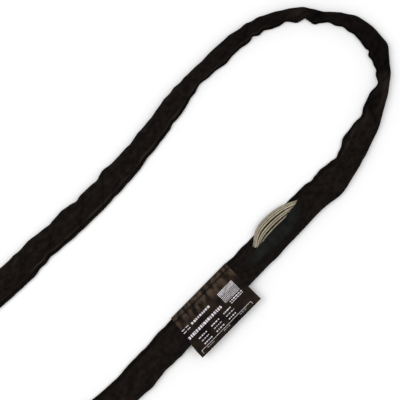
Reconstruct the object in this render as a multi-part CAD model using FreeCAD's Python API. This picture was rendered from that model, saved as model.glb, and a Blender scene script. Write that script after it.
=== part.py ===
import FreeCAD, Part
import math
import os

# Steel-core endless round sling with a double jacket, an inspection window and a sewn label.
# It lies flat on z = 0 as a long loop.  +X runs along the loop, towards the rounder end,
# +Y is the side away from the window and the label, and +Z is up.  All sizes are millimetres.

V = FreeCAD.Vector
UP = V(0, 0, 1)

# ---------------------------------------------------------------- driving dimensions

# Route of the body's centreline, clockwise from above: x, y and the width of the body there.
ROUTE = [
    (-192.5, 107.0, 37.0),
    (-120.5, 109.0, 34.0),
    (-45.5, 110.0, 33.0),
    (19.5, 114.5, 31.0),
    (74.5, 123.5, 29.0),
    (129.5, 134.0, 27.0),
    (187.5, 142.5, 24.0),
    (247.5, 144.5, 22.0),
    (302.5, 135.5, 21.0),
    (345.5, 115.5, 21.0),
    (373.5, 81.5, 21.0),
    (397.5, 45.5, 23.0),
    (400.5, 6.5, 24.0),
    (381.5, -33.5, 22.0),
    (345.5, -55.5, 24.0),
    (305.5, -71.5, 30.0),
    (257.5, -94.5, 34.0),
    (189.5, -95.5, 39.0),
    (49.5, -105.5, 39.0),
    (-92.5, -114.0, 39.0),
    (-175.5, -121.0, 39.0),
    (-261.5, -122.5, 39.0),
    (-321.5, -110.5, 37.0),
    (-366.5, -78.5, 33.0),
    (-392.5, -33.5, 29.0),
    (-395.5, 18.5, 27.0),
    (-373.5, 64.5, 29.0),
    (-332.5, 96.5, 33.0),
    (-276.5, 107.5, 36.0),
]
ARC_SHARE = 0.45           # share of the shorter run that a corner's arc takes up

# A run is named by the point of the route where it starts, and a place on it by a share of it.
WINDOW_RUN = 17
WINDOW_CENTRE = 0.55
TAG_RUN = 18
TAG_CENTRE = 0.47
SPLICE_RUN = 20
JOINT_RUN = 21
TIE_RUNS = [1, 5, 18, 28]

CABLE_DIA = 3.2            # 1/8 inch galvanised 7 x 19 cable
CABLE_PITCH = 3.4          # centre to centre of two turns side by side
LAYER_RISE = 2.85          # centre to centre of two layers of turns

# Each turn's place in the stack: half pitches towards the inside of the loop, and its layer.
TURNS = [(-3, 0), (-1, 0), (1, 0), (3, 0), (-2, 1), (0, 1), (2, 1), (-1, 2), (1, 2)]

# Places along the window's run, and how far the turns lean out there, from 0 to 1.
BULGE = [(0.11, 0.32), (0.26, 0.75), (0.45, 1.0), (0.66, 0.8), (0.82, 0.33)]
BULGE_START = 0.08         # the lean at the start of that run
BULGE_SHIFT = 20.2         # sideways shift at full lean
BULGE_SPREAD = 1.3         # extra spacing at full lean, for each half pitch

SPLICED_TURN = 1
SPLICE_ASIDE = -5.0        # the spliced turn stands clear of the stack by this much
SLEEVE_RADIUS = 2.2
SLEEVE_LENGTH = 20.0
SLEEVE_GAP = 0.05
END_GAP = 1.0              # between the cable's two ends, inside the sleeve

TIE_BODY = 21.8            # width of the body that the tie would just fill
TIE_TAPE = 0.4
TIE_LENGTH = 12.0

BODY_HEIGHT = 13.4         # the filled jacket, lying on the floor
OUTER_WALL = 0.8           # cloth of the outer jacket
INNER_WALL = 0.6           # cloth of the inner jacket
WALL_GAP = 0.2             # slack between the two jackets, and round a tie
FLANGE_WIDTH = 5.0         # seam flange, past the edge of the body, on the inside of the loop
FLANGE_LOW = 1.2
FLANGE_HIGH = 2.8
SEAM_FROM_EDGE = 1.0       # from the edge of the body to the seam's thread
SEAM_THREAD = 0.8
THREAD_HEIGHT = 0.4

WINDOW_HALF = 60.0         # half the length of the opening in the seam
WINDOW_FOLD_HALF = 41.0    # half the length of the fold, where the opening is widest
WINDOW_FOLD = 8.0          # from the leg's centreline to the fold, towards the inside
WINDOW_LIP = 2.0           # height of the lower lip that is left
FLAP_HALF = 58.0
FLAP_DEPTH = 22.0
FLAP_CLOTH = 0.8
HOOK_STRIP = 1.4
HOOK_MARGIN = 3.0
FLAP_LIFT = 0.6            # between the jacket and the folded flap
LOOP_STRIP_HALF = 40.0
LOOP_STRIP = 0.7
TACK_LENGTH = 2.0
TACK_HEIGHT = 0.7

TAG_HALF = 56.0            # half the length of the label along the sling
TAG_CLOTH = 0.4
TAG_CLEARANCE = 0.4        # between the label and the body
TAG_HEM_FOLD = 1.3         # radius of the label's fold round the flange, to its inner face
TAG_HEM_CENTRE = 24.0      # from the leg's centreline to the centre of that fold
TAG_HEM_END = 17.5         # where the hem ends, under the flange
TAG_SEAM_ANGLE = 50.0      # place of the label's stitch line, round the body's rounded side
TAG_LEAF_GAP = 2.0         # degrees round the side between the hem and the leaf
TAG_FREE_EDGE = -43.5      # free edge, past the outer edge of the sling
TAG_DROOP = 2.0            # how far the free edge hangs down
TAG_STITCHES = 24
TAG_STITCH_ANGLE = 40.0    # place of the stitches, just below the stitch line

STITCH_LENGTH = 3.0
STITCH_RADIUS = 0.25
STITCH_PITCH = 4.5
JOINT_ROWS = 3
JOINT_ROW_STITCHES = 5

# ---------------------------------------------------------------- worked-out sizes

CENTRELINE = [V(x, y, 0) for x, y, width in ROUTE]
WIDTHS = [width for x, y, width in ROUTE]
LEG_WIDTH = WIDTHS[WINDOW_RUN]
BODY_EDGE = LEG_WIDTH / 2
END_RADIUS = BODY_HEIGHT / 2
SIDE_CENTRE = V(BODY_EDGE - END_RADIUS, 0, END_RADIUS)
JACKET_STACK = OUTER_WALL + WALL_GAP + INNER_WALL
LAYERS = 3
STACK_HEIGHT = CABLE_DIA + (LAYERS - 1) * LAYER_RISE
LOW_LAYER = (BODY_HEIGHT - STACK_HEIGHT + CABLE_DIA) / 2
FLAP_LOW = BODY_HEIGHT + FLAP_LIFT
FLAP_HIGH = FLAP_LOW + FLAP_CLOTH
HOOK_HIGH = FLAP_HIGH + HOOK_STRIP


def save(name, shape):
    """Writes one sub-part, after a check that it is sound."""
    if not shape.isValid():
        print("NOT VALID:", name)
    shape.exportStep("parts/" + name + ".step")
    print(f"{name:20s} {len(shape.Solids):3d} solids {shape.Volume:10.1f} mm3")


# ---------------------------------------------------------------- paths


class Corner:
    """One rounded corner of a closed flat path, with the outline that is swept through it."""

    def __init__(self, before, point, after, outline):
        self.outline = outline
        self.arrive = (point - before).normalize()
        self.leave = (after - point).normalize()
        self.turn = math.atan2(self.arrive.cross(self.leave).z, self.arrive.dot(self.leave))
        reach = ARC_SHARE * min((point - before).Length, (after - point).Length)
        self.radius = reach / math.tan(abs(self.turn) / 2)
        self.start = point - self.arrive * reach
        self.end = point + self.leave * reach
        side = UP.cross(self.arrive) * math.copysign(1, self.turn)
        self.centre = self.start + side * self.radius


def corners(points, outlines):
    """The rounded corners of the closed path through these points."""
    count = len(points)
    return [
        Corner(points[i - 1], points[i], points[(i + 1) % count], outlines[i])
        for i in range(count)
    ]


def shifted(points, offsets):
    """The closed path moved towards the inside of the loop, by its own offset at each point."""
    moved = []
    count = len(points)
    for i, point in enumerate(points):
        arrive = (point - points[i - 1]).normalize()
        leave = (points[(i + 1) % count] - point).normalize()
        inward = (arrive + leave).cross(UP).normalize()
        half_turn = math.acos(min(1.0, arrive.dot(leave))) / 2
        moved.append(point + inward * (offsets[i] / math.cos(half_turn)))
    return moved


def placed(outline, at, heading):
    """An outline drawn in the XZ plane, x towards the inside of the loop, set across a path."""
    shape = outline.copy()
    turned = FreeCAD.Rotation(heading.cross(UP), -heading, UP, "ZXY")
    shape.Placement = FreeCAD.Placement(at, turned)
    return shape


def ring(path):
    """A closed ring: each outline swept round its corner and joined along the runs."""
    faces = []
    for i, corner in enumerate(path):
        following = path[(i + 1) % len(path)]
        section = placed(corner.outline, corner.start, corner.arrive)
        faces += section.revolve(corner.centre, UP, math.degrees(corner.turn)).Faces
        run_start = placed(corner.outline, corner.end, corner.leave)
        run_end = placed(following.outline, following.start, following.arrive)
        faces += Part.makeLoft([run_start, run_end], False, True).Faces
    shell = Part.makeShell(faces)
    shell.sewShape()
    return Part.makeSolid(shell.Shells[0] if shell.Shells else shell)


def path_length(path):
    """Length of a path along its runs and arcs."""
    total = 0.0
    for i, corner in enumerate(path):
        following = path[(i + 1) % len(path)]
        total += abs(corner.turn) * corner.radius + (following.start - corner.end).Length
    return total


def run_frame(run, share):
    """Placement of a leg's frame: x back along the path, y towards the inside, z up."""
    start = CENTRELINE[run]
    end = CENTRELINE[(run + 1) % len(CENTRELINE)]
    back = (start - end).normalize()
    turned = FreeCAD.Rotation(back, UP.cross(back), UP, "ZXY")
    return FreeCAD.Placement(start + (end - start) * share, turned)


WINDOW_FRAME = run_frame(WINDOW_RUN, WINDOW_CENTRE)
TAG_FRAME = run_frame(TAG_RUN, TAG_CENTRE)
SPLICE_FRAME = run_frame(SPLICE_RUN, 0.5)
JOINT_FRAME = run_frame(JOINT_RUN, 0.5)

# ---------------------------------------------------------------- outlines across the path


def line(start, end):
    return Part.LineSegment(start, end).toShape()


def arc(start, middle, end):
    return Part.Arc(start, middle, end).toShape()


def stadium(width, inset):
    """Outline of a body of this width, its surface moved in by the inset."""
    flat = width / 2 - END_RADIUS
    reach = flat + END_RADIUS - inset
    low = inset
    high = BODY_HEIGHT - inset
    return Part.Wire([
        line(V(-flat, 0, low), V(flat, 0, low)),
        arc(V(flat, 0, low), V(reach, 0, END_RADIUS), V(flat, 0, high)),
        line(V(flat, 0, high), V(-flat, 0, high)),
        arc(V(-flat, 0, high), V(-reach, 0, END_RADIUS), V(-flat, 0, low)),
    ])


def flanged_stadium(width):
    """Outer outline of the outer jacket, with its seam flange on the inside of the loop."""
    flat = width / 2 - END_RADIUS
    edge = width / 2 + FLANGE_WIDTH

    def on_side(height):
        return V(flat + math.sqrt(END_RADIUS ** 2 - (END_RADIUS - height) ** 2), 0, height)

    return Part.Wire([
        line(V(-flat, 0, 0), V(flat, 0, 0)),
        arc(V(flat, 0, 0), on_side(FLANGE_LOW / 2), on_side(FLANGE_LOW)),
        line(on_side(FLANGE_LOW), V(edge, 0, FLANGE_LOW)),
        line(V(edge, 0, FLANGE_LOW), V(edge, 0, FLANGE_HIGH)),
        line(V(edge, 0, FLANGE_HIGH), on_side(FLANGE_HIGH)),
        arc(on_side(FLANGE_HIGH), on_side(END_RADIUS), V(flat, 0, BODY_HEIGHT)),
        line(V(flat, 0, BODY_HEIGHT), V(-flat, 0, BODY_HEIGHT)),
        arc(V(-flat, 0, BODY_HEIGHT), V(-flat - END_RADIUS, 0, END_RADIUS), V(-flat, 0, 0)),
    ])


def disc(radius, aside, height):
    """Outline of a round bar that follows the path."""
    return Part.Wire([Part.makeCircle(radius, V(aside, 0, height), V(0, 1, 0))])


def strip(inner_edge, outer_edge, low, high):
    """Outline of a flat thread that follows the path."""
    return Part.makePolygon([
        V(inner_edge, 0, low),
        V(outer_edge, 0, low),
        V(outer_edge, 0, high),
        V(inner_edge, 0, high),
        V(inner_edge, 0, low),
    ])


# ---------------------------------------------------------------- pieces on a straight leg


def in_frame(frame, shape):
    """A shape drawn in a leg's frame, moved to its place on the loop."""
    moved = shape.copy()
    moved.Placement = frame.multiply(shape.Placement)
    return moved


def block(frame, x, y, z):
    """A box in a leg's frame, each way given as (low, high)."""
    corner = V(x[0], y[0], z[0])
    return in_frame(frame, Part.makeBox(x[1] - x[0], y[1] - y[0], z[1] - z[0], corner))


def bar(frame, outline, half_length):
    """A closed outline run along a leg as a solid, or an open one as a skin."""
    section = placed(outline, V(half_length, 0, 0), V(-1, 0, 0))
    if outline.isClosed():
        section = Part.Face(section)
    return in_frame(frame, section.extrude(V(-2 * half_length, 0, 0)))


def slab(frame, outline, low, high):
    """A flat plate in a leg's frame, from an outline in its XY plane."""
    plate = Part.Face(outline).extrude(UP * (high - low))
    plate.translate(UP * low)
    return in_frame(frame, plate)


def d_outline(half_length, depth):
    """A D whose straight side is on the window's fold and whose belly faces out of the loop."""
    left = V(-half_length, WINDOW_FOLD, 0)
    right = V(half_length, WINDOW_FOLD, 0)
    ellipse = Part.Ellipse(right, V(0, WINDOW_FOLD + depth, 0), V(0, WINDOW_FOLD, 0))
    belly = Part.ArcOfEllipse(ellipse, math.pi, 2 * math.pi).toShape()
    return Part.Wire([belly, line(right, left)])


def stitches(frame, places, direction):
    """Short round stitches centred at these places of a leg's frame."""
    threads = []
    for place in places:
        start = place - direction * (STITCH_LENGTH / 2)
        thread = Part.makeCylinder(STITCH_RADIUS, STITCH_LENGTH, start, direction)
        threads.append(in_frame(frame, thread))
    return Part.makeCompound(threads)


# ---------------------------------------------------------------- the core


def core_route(number):
    """A turn's points on the centreline, and its offset towards the inside at each."""
    half_pitches = TURNS[number - 1][0]
    points = []
    offsets = []

    def add(point, lean, aside=0.0):
        spacing = CABLE_PITCH / 2 + BULGE_SPREAD * lean
        points.append(point)
        offsets.append(half_pitches * spacing + BULGE_SHIFT * lean + aside)

    for i, point in enumerate(CENTRELINE):
        beside_splice = number == SPLICED_TURN and i in (SPLICE_RUN, SPLICE_RUN + 1)
        add(point, BULGE_START if i == WINDOW_RUN else 0.0, SPLICE_ASIDE if beside_splice else 0.0)
        if i == WINDOW_RUN:
            run = CENTRELINE[i + 1] - point
            for share, lean in BULGE:
                add(point + run * share, lean)
    return points, offsets


def core_turn(number):
    """One turn of cable."""
    layer = TURNS[number - 1][1]
    outline = disc(CABLE_DIA / 2, 0, LOW_LAYER + layer * LAYER_RISE)
    points = shifted(*core_route(number))
    path = corners(points, [outline] * len(points))
    radius = min(corner.radius for corner in path)
    print(f"core turn {number}: length {path_length(path):.0f}, radii from {radius:.0f} mm")
    return ring(path)


def cable_end_gap():
    """The space between the two ends of the cable, inside the sleeve."""
    return block(
        SPLICE_FRAME,
        (-END_GAP / 2, END_GAP / 2),
        (-BODY_EDGE, SPLICE_ASIDE),
        (0, LOW_LAYER + CABLE_DIA),
    )


def splice_sleeve():
    """Swaged sleeve over the two ends of the cable."""
    aside = TURNS[SPLICED_TURN - 1][0] * CABLE_PITCH / 2 + SPLICE_ASIDE
    barrel = bar(SPLICE_FRAME, disc(SLEEVE_RADIUS, aside, LOW_LAYER), SLEEVE_LENGTH / 2)
    bore_radius = CABLE_DIA / 2 + SLEEVE_GAP
    return barrel.cut(bar(SPLICE_FRAME, disc(bore_radius, aside, LOW_LAYER), SLEEVE_LENGTH))


def core_tie(run):
    """A band of tape round the stack of turns."""
    frame = run_frame(run, 0.5)
    outside = JACKET_STACK + WALL_GAP / 2
    band = bar(frame, stadium(TIE_BODY, outside), TIE_LENGTH / 2)
    return band.cut(bar(frame, stadium(TIE_BODY, outside + TIE_TAPE), TIE_LENGTH))


# ---------------------------------------------------------------- the jacket


def window_opening(low):
    """What the opening in the seam takes away above this height."""
    far = BODY_EDGE + 2 * FLANGE_WIDTH
    outline = Part.makePolygon([
        V(-WINDOW_HALF, far, 0),
        V(-WINDOW_HALF, BODY_EDGE, 0),
        V(-WINDOW_FOLD_HALF, WINDOW_FOLD, 0),
        V(WINDOW_FOLD_HALF, WINDOW_FOLD, 0),
        V(WINDOW_HALF, BODY_EDGE, 0),
        V(WINDOW_HALF, far, 0),
        V(-WINDOW_HALF, far, 0),
    ])
    return slab(WINDOW_FRAME, outline, low, 2 * BODY_HEIGHT)


def jacket(outer_outlines, inset):
    """A hollow sleeve right round the loop."""
    outside = ring(corners(CENTRELINE, outer_outlines))
    inside = ring(corners(CENTRELINE, [stadium(width, inset) for width in WIDTHS]))
    return outside.cut(inside)


def outer_jacket():
    """The outer sleeve and its seam flange, open along the window."""
    sleeve = jacket([flanged_stadium(width) for width in WIDTHS], OUTER_WALL)
    return sleeve.cut(window_opening(WINDOW_LIP))


def inner_jacket():
    """The inner sleeve, open all the way down at the window."""
    outside = OUTER_WALL + WALL_GAP
    sleeve = jacket([stadium(width, outside) for width in WIDTHS], JACKET_STACK)
    return sleeve.cut(window_opening(0))


def seam_thread(low):
    """One of the seam's two threads, from one end of the window right round to the other."""
    outlines = []
    for width in WIDTHS:
        inner_edge = width / 2 + SEAM_FROM_EDGE
        outlines.append(strip(inner_edge, inner_edge + SEAM_THREAD, low, low + THREAD_HEIGHT))
    gap_half = WINDOW_HALF + 2 * TACK_LENGTH
    gap = block(WINDOW_FRAME, (-gap_half, gap_half), (0, 2 * BODY_EDGE), (0, BODY_HEIGHT))
    return ring(corners(CENTRELINE, outlines)).cut(gap)


def joint_stitching():
    """Rows of stitches across the leg, where the two ends of the sleeve are closed."""
    half_rows = (JOINT_ROWS - 1) / 2
    half_row = (JOINT_ROW_STITCHES - 1) / 2
    places = [
        V((row - half_rows) * STITCH_PITCH, (i - half_row) * STITCH_PITCH,
          BODY_HEIGHT + STITCH_RADIUS)
        for row in range(JOINT_ROWS)
        for i in range(JOINT_ROW_STITCHES)
    ]
    return stitches(JOINT_FRAME, places, V(0, 1, 0))


# ---------------------------------------------------------------- the inspection window


def window_flap():
    """The upper lip, folded back on to the body."""
    return slab(WINDOW_FRAME, d_outline(FLAP_HALF, FLAP_DEPTH), FLAP_LOW, FLAP_HIGH)


def flap_hook_strip():
    """Closure strip on the flap's inner face, which faces up while the flap is open."""
    outline = d_outline(FLAP_HALF - HOOK_MARGIN, FLAP_DEPTH - HOOK_MARGIN)
    return slab(WINDOW_FRAME, outline, FLAP_HIGH, HOOK_HIGH)


def flap_stitching():
    """The thread round the edge of the hook strip."""
    edge = HOOK_MARGIN + 1.0
    outer = d_outline(FLAP_HALF - edge, FLAP_DEPTH - edge)
    inner = d_outline(FLAP_HALF - edge - SEAM_THREAD, FLAP_DEPTH - edge - SEAM_THREAD)
    top = HOOK_HIGH + THREAD_HEIGHT
    thread = slab(WINDOW_FRAME, outer, HOOK_HIGH, top)
    return thread.cut(slab(WINDOW_FRAME, inner, HOOK_HIGH, top))


def lip_loop_strip():
    """Closure strip inside the lower lip, under the turns."""
    strip_shape = bar(WINDOW_FRAME, stadium(LEG_WIDTH, OUTER_WALL), LOOP_STRIP_HALF)
    hollow = bar(WINDOW_FRAME, stadium(LEG_WIDTH, OUTER_WALL + LOOP_STRIP), WINDOW_HALF)
    lip = block(
        WINDOW_FRAME,
        (-LOOP_STRIP_HALF, LOOP_STRIP_HALF),
        (WINDOW_FOLD + WALL_GAP, BODY_EDGE),
        (0, WINDOW_LIP),
    )
    return strip_shape.cut(hollow).common(lip)


def window_bar_tacks():
    """Two dense tacks over the flange, one at each end of the opening."""
    tacks = []
    for end in (-1, 1):
        middle = end * (WINDOW_HALF + TACK_LENGTH)
        tacks.append(block(
            WINDOW_FRAME,
            (middle - TACK_LENGTH / 2, middle + TACK_LENGTH / 2),
            (BODY_EDGE + SEAM_FROM_EDGE / 2, BODY_EDGE + FLANGE_WIDTH),
            (FLANGE_HIGH, FLANGE_HIGH + TACK_HEIGHT),
        ))
    return Part.makeCompound(tacks)


# ---------------------------------------------------------------- the label


def on_circle(centre, radius, angle):
    """A point of a circle in the outline plane, its angle in degrees from the inside, upwards."""
    turn = math.radians(angle)
    return centre + V(radius * math.cos(turn), 0, radius * math.sin(turn))


def ribbon(outline):
    """A strip of the label's cloth along the sling, thickened away from the body."""
    skin = bar(TAG_FRAME, outline, TAG_HALF)
    return skin.makeOffsetShape(TAG_CLOTH, 0.001, fill=True)


def hem_angle():
    """Where the hem leaves its fold and meets the body's side: one tangent to both rounds."""
    fold = V(TAG_HEM_CENTRE, 0, (FLANGE_LOW + FLANGE_HIGH) / 2)
    between = SIDE_CENTRE - fold
    climb = math.atan2(between.z, between.x)
    growth = (END_RADIUS + TAG_CLEARANCE - TAG_HEM_FOLD) / between.Length
    return math.degrees(climb - math.asin(growth)) - 90


def tag_sewn_edge():
    """The hem: under the flange, round its edge and up the body's side to the stitch line."""
    fold = V(TAG_HEM_CENTRE, 0, (FLANGE_LOW + FLANGE_HIGH) / 2)
    side = END_RADIUS + TAG_CLEARANCE
    angle = hem_angle()
    under = on_circle(fold, TAG_HEM_FOLD, -90)
    last = TAG_SEAM_ANGLE - TAG_LEAF_GAP
    outline = Part.Wire([
        line(V(TAG_HEM_END, 0, under.z), under),
        arc(under, on_circle(fold, TAG_HEM_FOLD, 0), on_circle(fold, TAG_HEM_FOLD, angle)),
        line(on_circle(fold, TAG_HEM_FOLD, angle), on_circle(SIDE_CENTRE, side, angle)),
        arc(on_circle(SIDE_CENTRE, side, angle),
            on_circle(SIDE_CENTRE, side, (angle + last) / 2),
            on_circle(SIDE_CENTRE, side, last)),
    ])
    return ribbon(outline)


def tag_leaf():
    """The printed leaf: over the top of the body and past its outer edge."""
    side = END_RADIUS + TAG_CLEARANCE
    first = on_circle(SIDE_CENTRE, side, TAG_SEAM_ANGLE)
    shoulder = on_circle(SIDE_CENTRE, side, 90)
    brow = V(-SIDE_CENTRE.x, 0, shoulder.z)
    bend = abs(TAG_FREE_EDGE) - SIDE_CENTRE.x
    radius = (bend ** 2 + TAG_DROOP ** 2) / (2 * TAG_DROOP)
    centre = brow - UP * radius
    sweep = math.degrees(math.asin(bend / radius))
    outline = Part.Wire([
        arc(first, on_circle(SIDE_CENTRE, side, (TAG_SEAM_ANGLE + 90) / 2), shoulder),
        line(shoulder, brow),
        arc(brow, on_circle(centre, radius, 90 + sweep / 2), on_circle(centre, radius, 90 + sweep)),
    ])
    return ribbon(outline)


def tag_stitching():
    """The row of stitches through the label, just below the stitch line."""
    radius = END_RADIUS + TAG_CLEARANCE + TAG_CLOTH + STITCH_RADIUS
    row = on_circle(SIDE_CENTRE, radius, TAG_STITCH_ANGLE)
    half = (TAG_STITCHES - 1) / 2
    places = [V((i - half) * STITCH_PITCH, row.x, row.z) for i in range(TAG_STITCHES)]
    return stitches(TAG_FRAME, places, V(1, 0, 0))


# ---------------------------------------------------------------- write the sub-parts

os.makedirs("parts", exist_ok=True)

body_path = corners(CENTRELINE, [None] * len(CENTRELINE))
print("sling length", round(path_length(body_path)), "mm")
print("radii", [round(corner.radius) for corner in body_path])

for turn_number in range(1, len(TURNS) + 1):
    turn = core_turn(turn_number)
    if turn_number == SPLICED_TURN:
        turn = turn.cut(cable_end_gap())
    save(f"core_turn_{turn_number}", turn)
save("splice_sleeve", splice_sleeve())
for tie_number, tie_run in enumerate(TIE_RUNS, 1):
    save(f"core_tie_{tie_number}", core_tie(tie_run))

save("outer_jacket", outer_jacket())
save("inner_jacket", inner_jacket())
save("seam_needle_thread", seam_thread(FLANGE_HIGH))
save("seam_bobbin_thread", seam_thread(FLANGE_LOW - THREAD_HEIGHT))
save("joint_stitching", joint_stitching())

save("window_flap", window_flap())
save("flap_hook_strip", flap_hook_strip())
save("flap_stitching", flap_stitching())
save("lip_loop_strip", lip_loop_strip())
save("window_bar_tacks", window_bar_tacks())

save("tag_sewn_edge", tag_sewn_edge())
save("tag_leaf", tag_leaf())
save("tag_stitching", tag_stitching())
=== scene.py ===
import math

import bpy
import numpy as np
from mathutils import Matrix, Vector


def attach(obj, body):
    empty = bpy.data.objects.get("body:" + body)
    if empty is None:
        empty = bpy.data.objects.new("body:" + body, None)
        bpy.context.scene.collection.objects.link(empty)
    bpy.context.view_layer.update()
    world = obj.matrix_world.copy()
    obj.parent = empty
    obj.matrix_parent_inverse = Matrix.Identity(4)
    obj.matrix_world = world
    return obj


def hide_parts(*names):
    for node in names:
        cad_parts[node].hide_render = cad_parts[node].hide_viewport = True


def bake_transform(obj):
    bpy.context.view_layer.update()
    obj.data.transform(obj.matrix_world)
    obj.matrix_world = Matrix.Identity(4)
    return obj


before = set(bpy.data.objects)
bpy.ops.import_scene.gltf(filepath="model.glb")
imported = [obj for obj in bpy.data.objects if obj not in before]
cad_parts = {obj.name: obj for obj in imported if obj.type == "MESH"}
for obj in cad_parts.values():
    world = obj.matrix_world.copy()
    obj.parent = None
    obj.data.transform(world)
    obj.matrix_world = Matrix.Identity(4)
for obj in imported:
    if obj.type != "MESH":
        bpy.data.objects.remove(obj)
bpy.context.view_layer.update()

# Looks of a steel-core endless round sling that lies as a long loop on a pale floor.
# Everything is in metres.  A place on the loop is given as (along, aside, height): how far
# along the body's centreline, how far towards the inside of the loop, and how high.

# -------------------------------- sizes

MM = 0.001

# Route of the body's centreline, clockwise from above: x, y, then how far the cloth reaches
# out of the loop and into it, seam flange and all.
ROUTE = [
    (-0.1925, 0.1070, 0.0169, 0.0248),
    (-0.1205, 0.1090, 0.0158, 0.0220),
    (-0.0455, 0.1100, 0.0146, 0.0226),
    (0.0195, 0.1145, 0.0142, 0.0210),
    (0.0745, 0.1235, 0.0123, 0.0200),
    (0.1295, 0.1340, 0.0126, 0.0186),
    (0.1875, 0.1425, 0.0086, 0.0148),
    (0.2475, 0.1445, 0.0086, 0.0162),
    (0.3025, 0.1355, 0.0078, 0.0136),
    (0.3455, 0.1155, 0.0060, 0.0132),
    (0.3735, 0.0815, 0.0052, 0.0118),
    (0.3975, 0.0455, 0.0104, 0.0148),
    (0.4005, 0.0065, 0.0118, 0.0168),
    (0.3815, -0.0335, 0.0086, 0.0120),
    (0.3455, -0.0555, 0.0116, 0.0138),
    (0.3055, -0.0715, 0.0169, 0.0174),
    (0.2575, -0.0945, 0.0154, 0.0204),
    (0.1895, -0.0955, 0.0196, 0.0226),
    (0.0495, -0.1055, 0.0202, 0.0244),
    (-0.0925, -0.1140, 0.0202, 0.0244),
    (-0.1755, -0.1210, 0.0206, 0.0234),
    (-0.2615, -0.1225, 0.0195, 0.0240),
    (-0.3215, -0.1105, 0.0185, 0.0235),
    (-0.3665, -0.0785, 0.0165, 0.0215),
    (-0.3925, -0.0335, 0.0145, 0.0195),
    (-0.3955, 0.0185, 0.0135, 0.0185),
    (-0.3735, 0.0645, 0.0145, 0.0195),
    (-0.3325, 0.0965, 0.0165, 0.0215),
    (-0.2765, 0.1075, 0.0180, 0.0230),
]

WINDOW_CENTRE = (0.1125, -0.1010)
TAG_CENTRE = (-0.0172, -0.1095)

STATION_STEP = 0.0018
TOP_COLUMNS = 44
LOW_COLUMNS = 20

BODY_HEIGHT = 0.0132
EDGE_HEIGHT = 0.0030  # height of the fold at the outer edge
FLANGE_WIDTH = 0.005
FLANGE_TOP = 0.0028
FLANGE_LOW = 0.0012
JACKET_CLOTH = 0.0007
INNER_CLOTH = 0.0005
INNER_INSET = 0.0010

SEAM_PITCH = 0.004
SEAM_INSET = 0.0012  # from the edge of the body to the seam
STITCH_PITCH = 0.0045
STITCH_LENGTH = 0.0034

CABLE_RADIUS = 0.0016
CABLE_LAY = 0.021  # length of one twist of the strands
STRANDS = 6
GROOVE_DEPTH = 0.16  # between two strands, as a share of the cable's radius
FINE_RINGS = 0.0008  # step between a turn's rings in the window
COARSE_RINGS = 0.011  # and elsewhere
HALF_PITCH = 0.0017
CORE_HALF_WIDTH = 0.0067
LAYER_HEIGHTS = (0.0034, 0.00615, 0.0089)

# Each turn: half pitches and layer in the stack, then millimetres aside and up in the window.
TURNS = [
    (-3, 0, -8.2, 7.6),
    (-1, 0, -1.9, 5.4),
    (1, 0, 6.0, 4.9),
    (3, 0, 10.2, 6.0),
    (-2, 1, -3.4, 8.4),
    (0, 1, 2.4, 5.6),
    (2, 1, 7.6, 7.9),
    (-1, 2, -0.2, 8.9),
    (1, 2, 4.7, 9.5),
]
DEEP_TURNS = (2, 3, 6)  # those that lie under the others in the window
# Millimetres back along the leg from the window's centre, and how far the turns lean out.
BULGE = [(-100, 0), (-63, 0), (-32, 0.30), (-14, 0.90), (12, 0.98), (41, 0.81), (62, 0.36),
         (77, 0.08), (110, 0)]
BULGE_SHIFT = 0.0202
PINCH = 0.24  # how much closer the turns lie where they lean half out

WINDOW_HALF = 0.0635
# The window's upper lip, and the free edge of the flap folded back from it: millimetres back
# along the leg and aside.
LIP = [(-80, 21.3), (-37, 21.3), (-31, 17), (-29, 9.6), (-22, 9.2), (10, 9.1), (27, 9.6),
       (44, 11.8), (58, 14.0), (62, 18), (64, 21.3), (80, 21.3)]
FLAP_EDGE = [(-58, 4), (-57.5, -5), (-47, -9.8), (-28, -9.0), (-11, -10.6), (12, -15.3),
             (39, -9.6), (53, -1), (58, 8)]
FLAP_END = 0.058
FLAP_HIDDEN = 0.0003  # how far the fold lies back from the lip
STRAIGHT_FOLD = 0.0089  # where most of the fold lies
FLAP_GAP = 0.0009  # from the body to the middle of the flap's cloth
FLAP_LOWEST = 0.0105  # it bridges whatever lies lower than this
FLAP_CURL = (0.00015, 0.00060)  # radius of its fold at the ends and between them
FLAP_CLOTH = 0.0005
HOOK_CLOTH = 0.0005
LOOP_CLOTH = 0.0004

# The label, in the plane across its leg.
LABEL_HALF = 0.056
LABEL_CELL = 0.0005
LABEL_CLOTH = 0.0004
LABEL_FOLD = np.array([0.0240, 0.0020])
LABEL_FOLD_RADIUS = 0.0013
LABEL_SIDE = np.array([0.0128, 0.0067])
LABEL_SIDE_RADIUS = 0.0071
LABEL_HEM_END = 0.0175
LABEL_HANG = 0.0307  # from the far side of the body to the free edge
LABEL_FREE_EDGE = -0.0435
LABEL_DROOP = 0.002
LABEL_STITCH_ANGLE = 40  # place of the stitches round the body's side
LABEL_LEAF_START = 0.0184  # aside, on its way over the body
LABEL_LOOSE = 0.009  # the cloth is printed and gathered higher than this
LABEL_TOP = 25.7  # where the print's own measure down the label starts

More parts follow.
